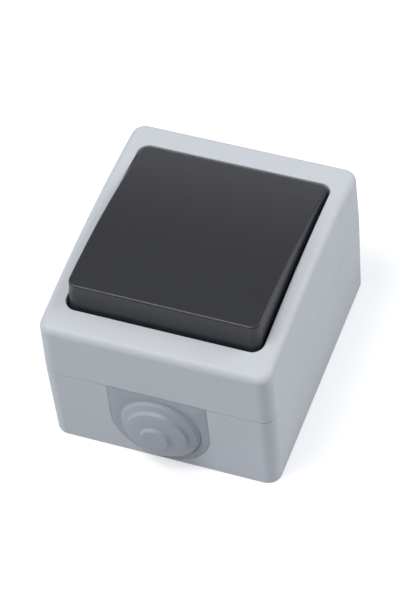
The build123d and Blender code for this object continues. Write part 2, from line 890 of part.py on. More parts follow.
def make_earth_screw():
    """Clamping screw of the earth terminal."""
    top = earth_pedestal + earth_height
    one = screw(
        clamp_screw_radius, clamp_head_radius, clamp_head_height,
        top - earth_height / 2 + earth_clearance, top + 2 * clamp_lift
    )
    return Pos(earth_x, earth_y, 0) * one


way_one, way_two, common = terminal_places()
nodes = {
    "base": make_base(),
    "cover": make_cover(),
    "cover_gasket": make_cover_gasket(),
    "cover_screws": make_cover_screws(),
    "cover_screw_seals": make_cover_screw_seals(),
    "cable_grommet": make_grommet(),
    "rocker": make_rocker(),
    "rocker_cradle": make_cradle(),
    "rocker_seal": make_seal(),
    "pivot_pin": make_pivot_pin(),
    "toggle_spring": make_spring(),
    "toggle_plunger": make_plunger(),
    "mechanism_frame": make_frame(),
    "mechanism_body": make_mechanism_body(),
    "mechanism_screws": make_mechanism_screws(),
    "common_strip": make_common_strip(),
    "way_one_strip": make_strip(*way_one),
    "way_two_strip": make_strip(*way_two),
    "fixed_contacts": make_fixed_contacts(),
    "contact_bridge": make_bridge(),
    "moving_contacts": make_moving_contacts(),
    "common_clamp": make_clamp(*common),
    "way_one_clamp": make_clamp(*way_one),
    "way_two_clamp": make_clamp(*way_two),
    "terminal_screws": make_terminal_screws(),
    "earth_terminal": make_earth_terminal(),
    "earth_screw": make_earth_screw(),
}

os.makedirs("parts", exist_ok=True)
for name, solids in nodes.items():
    if isinstance(solids, list):
        solids = Compound(children=solids)
    export_step(solids, f"parts/{name}.step")
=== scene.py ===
import json
from math import atan2, cos, pi, radians, sin, tan

import bpy
from bpy.props import FloatProperty, FloatVectorProperty, IntProperty, PointerProperty
from mathutils import Matrix, Vector


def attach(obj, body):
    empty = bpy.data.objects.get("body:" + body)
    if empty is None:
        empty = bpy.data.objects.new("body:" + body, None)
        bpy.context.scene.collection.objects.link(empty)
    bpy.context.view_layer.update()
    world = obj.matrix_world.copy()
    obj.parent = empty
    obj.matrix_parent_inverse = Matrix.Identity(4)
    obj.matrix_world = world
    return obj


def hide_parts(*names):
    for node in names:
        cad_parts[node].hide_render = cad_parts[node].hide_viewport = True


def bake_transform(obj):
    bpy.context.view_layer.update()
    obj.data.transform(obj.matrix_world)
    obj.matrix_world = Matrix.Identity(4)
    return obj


bl_info = {
    "name": "Surface mounted rocker switch",
    "version": (1, 0, 0),
    "blender": (4, 5, 0),
    "location": "View3D > Sidebar > Switch",
    "description": "Dresses a damp-room rocker switch in its moulded, rubber and metal finishes",
    "category": "Object",
}

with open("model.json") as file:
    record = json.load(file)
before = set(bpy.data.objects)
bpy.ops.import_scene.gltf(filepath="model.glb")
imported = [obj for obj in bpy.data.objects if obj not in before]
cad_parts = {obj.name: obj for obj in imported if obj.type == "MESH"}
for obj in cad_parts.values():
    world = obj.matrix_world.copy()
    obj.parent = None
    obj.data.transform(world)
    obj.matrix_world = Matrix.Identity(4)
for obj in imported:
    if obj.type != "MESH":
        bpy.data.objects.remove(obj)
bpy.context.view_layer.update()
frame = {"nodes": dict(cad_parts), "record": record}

MM = 0.001
IMAGE_HEIGHT = 600
SENSOR = 36.0

# Places and angles that the solids have, in metres and radians
PIVOT = Vector((0, 0, 44.5)) * MM
TILT = radians(7.5)
SEAM_HEIGHT = 27.9 * MM
BASE_DRAFT = radians(0.74)
NEAR_FACE = -38.6 * MM
RECESS_FLOOR = -35.6 * MM
ENTRY_HEIGHT = 14.8 * MM
TRAY_TOP = 35.299 * MM
SPRING_BOTTOM = -9.87 * MM
SPRING_TOP = -3.23 * MM

# How the solids' triangles are joined and their edges rounded
WELD_REACH = 0.002 * MM
FLAT_ANGLE = radians(0.3)
EDGE_ANGLE = radians(34)
EVEN_WEIGHT = 80
# The inner pieces' edges, as a share of the outer ones'
INNER_EDGE = 0.8

# Pieces from geometry nodes: the angle over which their edges stay sharp
SHARP_ANGLE = radians(35)
COIL_RADIUS = 1.55 * MM
SLOT_DEPTH = 0.85 * MM
# Points of one screw lie closer than this, and the next screw's lie further away
SCREW_REACH = 8.0 * MM

# Stage, in metres: the floor lies just under the switch's flat back, so that the two don't flicker
FLOOR_HALF = 1.6
FLOOR_SINK = -0.02 * MM
FLOOR_GLOW = 0.55
AIM = Vector((0, 0, 25)) * MM

MATH = "ShaderNodeMath"


def linear(hex_code):
    """Linear colour of an sRGB hex value, without alpha."""
    channels = []
    for start in (1, 3, 5):
        value = int(hex_code[start:start + 2], 16) / 255
        channels.append(value / 12.92 if value <= 0.04045 else ((value + 0.055) / 1.055) ** 2.4)
    return tuple(channels)


WHITE = linear("#FFFFFF") + (1.0,)


def add_node(tree, kind, inputs=None, **settings):
    """Adds a node with its settings, and fills its inputs.

    An input takes a value, a link, a node whose first result it uses, or a list of these.
    """
    node = tree.nodes.new(kind)
    for name, value in settings.items():
        setattr(node, name, value)
    for name, value in (inputs or {}).items():
        for entry in value if isinstance(value, list) else [value]:
            if isinstance(entry, bpy.types.Node):
                entry = entry.outputs[0]
            if isinstance(entry, bpy.types.NodeSocket):
                tree.links.new(entry, node.inputs[name])
            else:
                node.inputs[name].default_value = entry
    return node


def colour_property(name, hex_code, description):
    """Colour swatch whose default is an sRGB hex value."""
    return FloatVectorProperty(
        name=name, description=description, subtype="COLOR", size=3, min=0, max=1,
        default=linear(hex_code),
    )


def length_property(name, millimetres, description):
    """Length whose default is given in millimetres."""
    return FloatProperty(
        name=name, description=description, default=millimetres * MM, min=0, unit="LENGTH",
        precision=5,
    )


def power_property(name, watts, description):
    """Power of a lamp, whose default is given in watts."""
    return FloatProperty(
        name=name, description=description, default=watts, min=0, unit="POWER"
    )


class SwitchFinish(bpy.types.PropertyGroup):
    """Colours and surface sizes of the switch's materials."""

    housing: colour_property("Housing", "#C8CCD3", "Light grey of the base and the cover")
    rocker: colour_property("Rocker", "#2E2F34", "Anthracite of the rocker")
    grommet: colour_property("Grommet", "#A4A8B1", "Grey of the cable grommet")
    seal: colour_property("Seals", "#26282A", "Black of the rubber seals")
    mechanism: colour_property("Mechanism body", "#D6D0BE", "Ivory of the insulating body")
    inner: colour_property("Inner plastics", "#B4B6B6", "Grey of the frame and the cradle")
    plunger: colour_property("Plunger", "#E2DFD3", "White of the sprung plunger")
    grain: length_property("Mould grain", 0.6, "Width of one pit of the spark-eroded mould")
    grain_depth: length_property("Grain depth", 0.022, "Depth of the spark-eroded grain")


class SwitchShape(bpy.types.PropertyGroup):
    """Sizes of the pieces that are modelled here round the solids."""

    edge: length_property("Edge rounding", 0.12, "Rounding of moulded and pressed edges")
    grommet_edge: length_property("Grommet rounding", 0.35, "Rounding of the grommet's steps")
    seal_fold: length_property("Seal fold", 1.3, "How far a fold of the seal stands out")
    spring_turns: IntProperty(
        name="Spring turns", description="Turns of the plunger's spring", default=7, min=2
    )
    spring_wire: length_property("Spring wire", 0.42, "Thickness of the spring's wire")
    thread_pitch: length_property("Thread pitch", 0.9, "Distance between two threads of a screw")
    thread_depth: length_property("Thread depth", 0.22, "Depth of the screw threads")
    slot_width: length_property("Slot width", 0.8, "Width of the driver slots")


class SwitchStage(bpy.types.PropertyGroup):
    """Floor, light and surroundings."""

    floor: colour_property("Floor", "#CACDD2", "Colour of the paper sweep")
    surroundings: FloatProperty(
        name="Surroundings", description="Brightness of the white surroundings", default=0.2, min=0
    )
    left: power_property("Left lamp", 4.4, "Power of the soft box on the left")
    top: power_property("Top lamp", 8.6, "Power of the soft box overhead")
    right: power_property("Right lamp", 5.5, "Power of the soft box on the right")
    rear: power_property("Rear lamp", 1.6, "Power of the weak soft box behind on the right")
    far: power_property("Far lamp", 1.2, "Power of the weak soft box low behind")


def new_material(name):
    """Empty node material with its shader, its output and the object's own coordinates."""
    material = bpy.data.materials.new(name)
    material.use_nodes = True
    tree = material.node_tree
    tree.nodes.clear()
    shader = add_node(tree, "ShaderNodeBsdfPrincipled")
    output = add_node(tree, "ShaderNodeOutputMaterial", {"Surface": shader.outputs["BSDF"]})
    output.is_active_output = True
    return material, tree, shader, add_node(tree, "ShaderNodeTexCoord").outputs["Object"]


def vary_colour(tree, shader, colour, factor, darker, lighter):
    """Lets the base colour swing between a darker and a lighter shade of itself."""
    tint = add_node(tree, "ShaderNodeMix", {"Factor": factor}, data_type="RGBA")
    for name, share in (("A", darker), ("B", lighter)):
        shade = [min(1.0, share * channel) for channel in colour]
        tint.inputs[name].default_value = shade + [1.0]
    tree.links.new(tint.outputs["Result"], shader.inputs["Base Color"])


def vary_surface(tree, shader, pattern, roughness, swing, strength, depth):
    """Lets a pattern swing the roughness to both sides, and raises it as fine relief."""
    gloss = add_node(
        tree, "ShaderNodeMapRange",
        {"Value": pattern, "To Min": roughness - swing, "To Max": roughness + swing},
    )
    relief = add_node(
        tree, "ShaderNodeBump", {"Height": pattern, "Strength": strength, "Distance": depth}
    )
    tree.links.new(gloss.outputs["Result"], shader.inputs["Roughness"])
    tree.links.new(relief.outputs["Normal"], shader.inputs["Normal"])


def moulded(name, colour, roughness, grain, grain_depth, flow=14 * MM):
    """Moulded plastic or rubber: clouds of uneven cooling, and pits that break its gloss."""
    material, tree, shader, place = new_material(name)
    clouds = add_node(
        tree, "ShaderNodeTexNoise", {"Vector": place, "Scale": 1 / flow, "Detail": 2.0}
    )
    pits = add_node(
        tree, "ShaderNodeTexNoise",
        {"Vector": place, "Scale": 1 / grain, "Detail": 3.0, "Roughness": 0.6},
    )
    vary_colour(tree, shader, colour, clouds, darker=0.965, lighter=1.035)
    vary_surface(tree, shader, pits, roughness, swing=0.06, strength=1.0, depth=grain_depth)
    return material


def worked_metal(name, hex_code, roughness, line_width, stretch, line_depth=0.003 * MM):
    """Pressed, drawn or plated metal: fine working lines along one way, and cloudy shades."""
    cloud_width = 3 * MM
    material, tree, shader, place = new_material(name)
    drawn = add_node(tree, "ShaderNodeMapping", {"Vector": place, "Scale": stretch})
    lines = add_node(
        tree, "ShaderNodeTexNoise", {"Vector": drawn, "Scale": 1 / line_width, "Detail": 3.0}
    )
    clouds = add_node(
        tree, "ShaderNodeTexNoise", {"Vector": place, "Scale": 1 / cloud_width, "Detail": 2.0}
    )
    vary_colour(tree, shader, linear(hex_code), clouds, darker=0.9, lighter=1.06)
    vary_surface(tree, shader, lines, roughness, swing=0.08, strength=0.6, depth=line_depth)
    shader.inputs["Metallic"].default_value = 1.0
    return material


def make_finish(slot):
    """Material of one material slot."""
    finish = bpy.context.scene.switch_finish
    # The pits of a spark-eroded mould are about 0.1 mm wide: drawn coarser, so that they show
    grain, depth = finish.grain, finish.grain_depth
    if slot == "housing_plastic":
        # ABS from a spark-eroded mould: satin, with an even pitting that keeps highlights soft
        return moulded("ABS, light grey, spark-eroded mould", finish.housing, 0.55, grain, depth)
    if slot == "rocker_plastic":
        # The same ABS in anthracite: the pitting spreads the window light into a grey sheen
        return moulded("ABS, anthracite, spark-eroded mould", finish.rocker, 0.38, grain, depth)
    if slot == "grommet_rubber":
        # Soft thermoplastic rubber: matt, with faint flow clouds round the membrane
        return moulded(
            "TPE rubber, grey, moulded", finish.grommet, 0.5, 0.6 * MM, 0.006 * MM, 9 * MM
        )
    if slot == "seal_rubber":
        # EPDM: black and dull, with a powdery grain
        return moulded(
            "EPDM rubber, black, moulded", finish.seal, 0.75, 0.6 * MM, 0.008 * MM, 6 * MM
        )
    if slot == "inner_plastic":
        # Glass-filled polyamide: a little cloudy, glossier than the housing
        return moulded(
            "Polyamide, grey, moulded", finish.inner, 0.45, 0.5 * MM, 0.006 * MM, 5 * MM
        )
    if slot == "mechanism_plastic":
        # Pressed urea resin: warm ivory, hard and slightly glossy
        return moulded(
            "Urea resin, ivory, pressed", finish.mechanism, 0.38, 0.7 * MM, 0.005 * MM, 7 * MM
        )
    if slot == "plunger_plastic":
        # Acetal: waxy white and smooth, so that it slides
        return moulded(
            "Acetal, natural white, moulded", finish.plunger, 0.3, 0.8 * MM, 0.002 * MM, 4 * MM
        )
    if slot == "strip_brass":
        # Brass strip, rolled and pressed: lines along the strip and warm soft reflections
        return worked_metal("Brass strip, pressed", "#D9B566", 0.3, 0.12 * MM, (0.1, 1.0, 1.0))
    if slot == "strip_copper":
        # Copper strip, rolled and pressed: redder, with lines along the bridge
        return worked_metal("Copper strip, pressed", "#D08C66", 0.32, 0.12 * MM, (1.0, 0.1, 1.0))
    if slot == "contact_silver":
        # Silver rivet, coined: bright and almost without lines
        return worked_metal(
            "Silver contact, coined", "#E4E2DC", 0.2, 0.3 * MM, (1.0, 1.0, 1.0), 0.001 * MM
        )
    if slot == "zinc_plated_steel":
        # Blank zinc plating: cool grey, with patchy shades from the bath
        return worked_metal("Steel, zinc plated", "#C3C8CC", 0.34, 0.25 * MM, (1.0, 1.0, 0.4))
    if slot == "bright_steel":
        # Drawn steel pin and wire: lines along the length and sharper reflections
        return worked_metal("Steel, bright drawn", "#C8C8C6", 0.26, 0.1 * MM, (0.1, 1.0, 1.0))
    raise ValueError(f"there is no finish for the slot {slot}")


finishes = {}


def finish_of(slot):
    """Material of a slot, made when it is first asked for."""
    if slot not in finishes:
        finishes[slot] = make_finish(slot)
    return finishes[slot]


def slot_of(node):
    """Material slot that the record gives a node."""
    for part in frame["record"]["subparts"]:
        if part["node"] == node:
            return part["material_slot"]
    raise ValueError(f"the record has no node {node}")


def dress_node(node, edge):
    """Gives a solid its finish and rounded edges, with its triangles joined for smooth shading."""
    obj = frame["nodes"][node]
    obj.data.materials.clear()
    obj.data.materials.append(finish_of(slot_of(node)))
    obj.data.polygons.foreach_set("use_smooth", [True] * len(obj.data.polygons))
    weld = obj.modifiers.new("Join the triangles", "WELD")
    weld.merge_threshold = WELD_REACH
    flats = obj.modifiers.new("Whole flats", "DECIMATE")
    flats.decimate_type = "DISSOLVE"
    flats.angle_limit = FLAT_ANGLE
    rounding = obj.modifiers.new("Rounded edges", "BEVEL")
    rounding.width = edge
    rounding.segments = 3
    rounding.limit_method = "ANGLE"
    rounding.angle_limit = EDGE_ANGLE
    rounding.use_clamp_overlap = False
    rounding.harden_normals = True
    even = obj.modifiers.new("Even shading", "WEIGHTED_NORMAL")
    even.weight = EVEN_WEIGHT
    even.keep_sharp = False


def keep_piece(obj, slot, node):
    """Puts a finished piece in the scene for a solid, with that solid's finish."""
    bpy.context.scene.collection.objects.link(obj)
    obj.data.materials.clear()
    obj.data.materials.append(finish_of(slot))
    obj.data.polygons.foreach_set("use_smooth", [True] * len(obj.data.polygons))
    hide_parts(node)
    return obj


def skin_mesh(name, loops, ring=False):
    """Closed skin over loops of equal count.

    In a ring the last loop joins the first. Otherwise a centre point closes each end.
    """
    count = len(loops[0])
    points = [tuple(point) for loop in loops for point in loop]
    faces = []
    for level in range(len(loops) if ring else len(loops) - 1):
        low, high = level * count, (level + 1) % len(loops) * count
        for index in range(count):
            after = (index + 1) % count
            faces.append((low + index, low + after, high + after, high + index))
    for level, turn in () if ring else ((0, -1), (len(loops) - 1, 1)):
        centre = sum((Vector(point) for point in loops[level]), Vector()) / count
        points.append(tuple(centre))
        for index in range(count):
            after = (index + 1) % count
            corner = (level * count + index, level * count + after, len(points) - 1)
            faces.append(corner[::turn])
    mesh = bpy.data.meshes.new(name)
    mesh.from_pydata(points, [], faces)
    mesh.validate()
    return mesh


def rounded_corners(corners, steps=6):
    """Points of a profile whose corners, given as x, y and rounding, are arcs."""
    longest = 0.48  # of each side that an arc may take up
    points = []
    for index, (x, y, rounding) in enumerate(corners):
        here = Vector((x, y))
        if rounding == 0 or index in (0, len(corners) - 1):
            points.append(here)
            continue
        before = Vector(corners[index - 1][:2]) - here
        after = Vector(corners[index + 1][:2]) - here
        half = before.angle(after) / 2
        slope = abs(sin(half) / cos(half))
        reach = min(rounding / slope, longest * before.length, longest * after.length)
        radius = reach * slope
        inwards = (before.normalized() + after.normalized()).normalized()
        centre = here + inwards * radius / sin(half)
        start = here + before.normalized() * reach - centre
        end = here + after.normalized() * reach - centre
        sweep = start.angle_signed(end)
        for step in range(steps + 1):
            turned = start.copy()
            turned.rotate(Matrix.Rotation(-sweep * step / steps, 2))
            points.append(centre + turned)
    return points


def make_grommet():
    """Cable grommet: a plate that fills the recess flush, and on it a stepped membrane.

    A shallow groove runs along the membrane's right side.
    """
    edge = bpy.context.scene.switch_shape.grommet_edge / MM
    # In millimetres from the middle of the cable entry
    plate_radius, plate_top = 14.2, 13.1
    right_gap = 0.06
    membrane_drop = 0.65
    # How far the plate and the foot of the membrane lie behind the housing's drafted face
    face_sink = 0.08
    steps = 144
    angles = [2 * pi * step / steps for step in range(steps)]
    corner = atan2(plate_top, plate_radius)
    for wanted in (corner, pi - corner):
        nearest = min(range(steps), key=lambda index: abs(angles[index] - wanted))
        angles[nearest] = wanted

    def plate_reach(angle):
        """Distance to the plate's round-bottomed outline, which leaves a gap at its right."""
        side = plate_radius - right_gap * max(0.0, cos(angle))
        if sin(angle) <= 0:
            return side
        return min(side / max(abs(cos(angle)), 1e-6), plate_top / sin(angle))

    def floor_ring(size, depth, drop=0.0):
        """Round loop at a distance in front of the recess floor."""
        return [
            Vector((size * cos(angle), -depth, size * sin(angle) - drop)) * MM
            + Vector((0, RECESS_FLOOR, ENTRY_HEIGHT)) for angle in angles
        ]

    def face_ring(inset, sink, size=None, groove=0.0):
        """Loop behind the housing's face, along the plate's outline or round the membrane.

        A groove sinks it further on the right, and most where it faces straight that way.
        """
        loop = []
        for angle in angles:
            reach = (size or plate_reach(angle) - inset) * MM
            z = ENTRY_HEIGHT + reach * sin(angle) - (membrane_drop * MM if size else 0)
            face = NEAR_FACE + (SEAM_HEIGHT - z) * tan(BASE_DRAFT)
            y = face + (sink + groove * max(0.0, cos(angle))) * MM
            loop.append(Vector((reach * cos(angle), y, z)))
        return loop

    # Profiles as radius, way out from the recess floor and rounding. The first point outside only
    # gives the first arc its direction: the groove's rings lead up to it.
    outside = rounded_corners([
        (11.2, 3.1, 0), (10.8, 3.85, edge), (9.1, 4.55, 0.3), (8.7, 5.65, edge),
        (7.2, 6.05, 2.5), (4.4, 6.45, 0.3), (3.75, 7.4, edge), (0.4, 7.4, 0)
    ])
    inside = rounded_corners([
        (0.4, 6.3, 0), (2.9, 6.3, 0.3), (2.9, 5.3, 0.3), (7.0, 4.2, 0.5), (7.3, -3.1, 0.2),
        (9.5, -3.1, 0.2), (10.5, -1.6, 0.15), (9.5, -1.6, 0.1), (9.5, 0.0, 0), (9.6, 0.0, 0)
    ])
    # Inset and sink of the plate's soft edge, and radius and depth of the groove
    plate_edge = ((0.0, 0.16), (0.02, 0.11), (0.08, face_sink))
    groove_rings = ((11.9, 0.0), (11.72, 0.05), (11.62, 0.4), (11.34, 0.4))
    loops = [floor_ring(size, depth) for size, depth in inside]
    plate_foot = face_ring(0.0, 0.0)
    loops.append([Vector((0, RECESS_FLOOR - point.y, 0)) + point for point in plate_foot])
    loops += [face_ring(inset, sink) for inset, sink in plate_edge]
    loops += [face_ring(0.0, face_sink, size, groove) for size, groove in groove_rings]
    loops += [floor_ring(size, depth, membrane_drop) for size, depth in outside[1:]]
    mesh = skin_mesh("cable_grommet_membrane", loops)
    piece = keep_piece(bpy.data.objects.new(mesh.name, mesh), "grommet_rubber", "cable_grommet")
    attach(piece, "root")


def seal_loop(width, length, corner, height, turn, steps=12):
    """Rounded rectangle at a height over the pivot, turned about the pivot by an angle."""
    turned = Matrix.Rotation(-turn, 3, "X")
    loop = []
    for x_side, y_side, first in ((1, 1, 0), (-1, 1, 90), (-1, -1, 180), (1, -1, 270)):
        for step in range(steps + 1):
            angle = radians(first + 90 * step / steps)
            x = x_side * (width / 2 - corner) + corner * cos(angle)
            y = y_side * (length / 2 - corner) + corner * sin(angle)
            loop.append(PIVOT + turned @ (Vector((x, y, height)) * MM))
    return loop


def make_seal():
    """Bellows between the tray's window and the cradle, plugged into the window with a lip."""
    fold = bpy.context.scene.switch_shape.seal_fold / MM
    # In millimetres: the inside of the sleeve, and the skin round it
    width, length, corner, skin = 21.0, 13.6, 3.0, 0.9
    # Heights over the pivot, in millimetres
    top = 3.75
    tray = (TRAY_TOP - PIVOT.z) / MM
    flange = tray + 1.1
    tray_bottom = tray - 1.8
    lip = tray_bottom - 0.9
    folds, steps = 3, 48
    outside = []
    inside = []
    for step in range(steps + 1):
        way = step / steps
        bulge = fold * (1 - cos(2 * pi * folds * way)) / 2
        height = flange + way * (top - flange)
        outside.append((skin + bulge, height, TILT * way))
        inside.append((bulge, height, TILT * way))
    # Each loop's growth past the inside of the sleeve, and its height
    skirt = (
        (0.0, lip + 0.2), (0.2, lip), (skin + 0.7, lip), (skin + 0.9, lip + 0.2),
        (skin + 0.9, tray_bottom - 0.1), (skin + 0.8, tray_bottom), (skin, tray_bottom),
        (skin, tray), (skin + 2.2, tray), (skin + 2.4, tray + 0.2), (skin + 2.4, flange - 0.35),
        (skin + 2.3, flange - 0.12), (skin + 2.05, flange), (skin + 0.4, flange),
    )
    around = [(grow, height, 0.0) for grow, height in skirt] + outside + inside[::-1]
    loops = []
    for grow, height, turn in around:
        loops.append(seal_loop(width + 2 * grow, length + 2 * grow, corner + grow, height, turn))
    mesh = skin_mesh("rocker_bellows", loops, ring=True)
    piece = keep_piece(bpy.data.objects.new(mesh.name, mesh), "seal_rubber", "rocker_seal")
    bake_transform(piece)


def new_tree(name, sizes):
    """Geometry tree with named number inputs, a material input and one geometry output."""
    tree = bpy.data.node_groups.new(name, "GeometryNodeTree")
    tree.interface.new_socket("Geometry", in_out="INPUT", socket_type="NodeSocketGeometry")
    for size in sizes:
        tree.interface.new_socket(size, in_out="INPUT", socket_type="NodeSocketFloat")
    tree.interface.new_socket("Finish", in_out="INPUT", socket_type="NodeSocketMaterial")
    tree.interface.new_socket("Geometry", in_out="OUTPUT", socket_type="NodeSocketGeometry")
    return tree, add_node(tree, "NodeGroupInput").outputs


def close_tree(tree, geometry, finish):
    """Ends a tree with real geometry, sharp edges over an angle, and the finish."""
    real = add_node(tree, "GeometryNodeRealizeInstances", {"Geometry": geometry})
    angle = add_node(tree, "GeometryNodeInputMeshEdgeAngle").outputs["Unsigned Angle"]
    sharp = add_node(
        tree, "FunctionNodeCompare", {0: angle, 1: SHARP_ANGLE}, operation="GREATER_THAN"
    )
    shaded = add_node(
        tree, "GeometryNodeSetShadeSmooth", {0: real, 1: sharp, 2: False}, domain="EDGE"
    )
    painted = add_node(tree, "GeometryNodeSetMaterial", {"Geometry": shaded, "Material": finish})
    add_node(tree, "NodeGroupOutput", {"Geometry": painted})


def grown_mesh(name, tree, seeds, values):
    """Plain mesh of a geometry tree run on seed points with its inputs set."""
    start = bpy.data.meshes.new(name)
    start.from_pydata(seeds, [], [])
    source = bpy.data.objects.new(name + "_seed", start)
    bpy.context.scene.collection.objects.link(source)
    modifier = source.modifiers.new("Grow", "NODES")
    modifier.node_group = tree
    identifiers = {
        item.name: item.identifier for item in tree.interface.items_tree if item.in_out == "INPUT"
    }
    for key, value in values.items():
        modifier[identifiers[key]] = value
    bpy.context.view_layer.update()
    evaluated = source.evaluated_get(bpy.context.evaluated_depsgraph_get())
    mesh = bpy.data.meshes.new_from_object(evaluated)
    mesh.name = name
    source.modifiers.remove(modifier)
    bpy.data.objects.remove(source)
    bpy.data.meshes.remove(start)
    return mesh


def spring_tree():
    """Coil whose turns close up towards both ends, as a wound and ground spring's do."""
    points_per_turn = 36.0
    wire_sides = 16
    tree, size = new_tree(
        "Coil spring", ["Radius", "Wire", "Turns", "Bottom", "Top", "Tilt", "Pivot"]
    )
    count = add_node(tree, MATH, {0: size["Turns"], 1: points_per_turn}, operation="MULTIPLY")
    line = add_node(tree, "GeometryNodeCurvePrimitiveLine")
    samples = add_node(tree, "GeometryNodeResampleCurve", {"Curve": line, "Count": count})
    along = add_node(tree, "GeometryNodeSplineParameter").outputs["Factor"]
    turns = add_node(tree, MATH, {0: along, 1: size["Turns"]}, operation="MULTIPLY")
    angle = add_node(tree, MATH, {0: turns, 1: 2 * pi}, operation="MULTIPLY")
    cosine = add_node(tree, MATH, {0: angle}, operation="COSINE")
    sine = add_node(tree, MATH, {0: angle}, operation="SINE")
    x = add_node(tree, MATH, {0: cosine, 1: size["Radius"]}, operation="MULTIPLY")
    y = add_node(tree, MATH, {0: sine, 1: size["Radius"]}, operation="MULTIPLY")
    height = add_node(
        tree, "ShaderNodeMapRange",
        {"Value": along, "To Min": size["Bottom"], "To Max": size["Top"]},
        interpolation_type="SMOOTHSTEP",
    )
    place = add_node(tree, "ShaderNodeCombineXYZ", {"X": x, "Y": y, "Z": height})
    coil = add_node(tree, "GeometryNodeSetPosition", {"Geometry": samples, "Position": place})
    half_wire = add_node(tree, MATH, {0: size["Wire"], 1: 0.5}, operation="MULTIPLY")
    section = add_node(
        tree, "GeometryNodeCurvePrimitiveCircle", {"Resolution": wire_sides, "Radius": half_wire}
    )
    wire = add_node(
        tree, "GeometryNodeCurveToMesh",
        {"Curve": coil, "Profile Curve": section, "Fill Caps": True},
    )
    turn = add_node(tree, "ShaderNodeCombineXYZ", {"X": size["Tilt"]})
    lift = add_node(tree, "ShaderNodeCombineXYZ", {"Z": size["Pivot"]})
    tilted = add_node(
        tree, "GeometryNodeTransform", {"Geometry": wire, "Rotation": turn, "Translation": lift}
    )
    close_tree(tree, tilted, size["Finish"])
    return tree


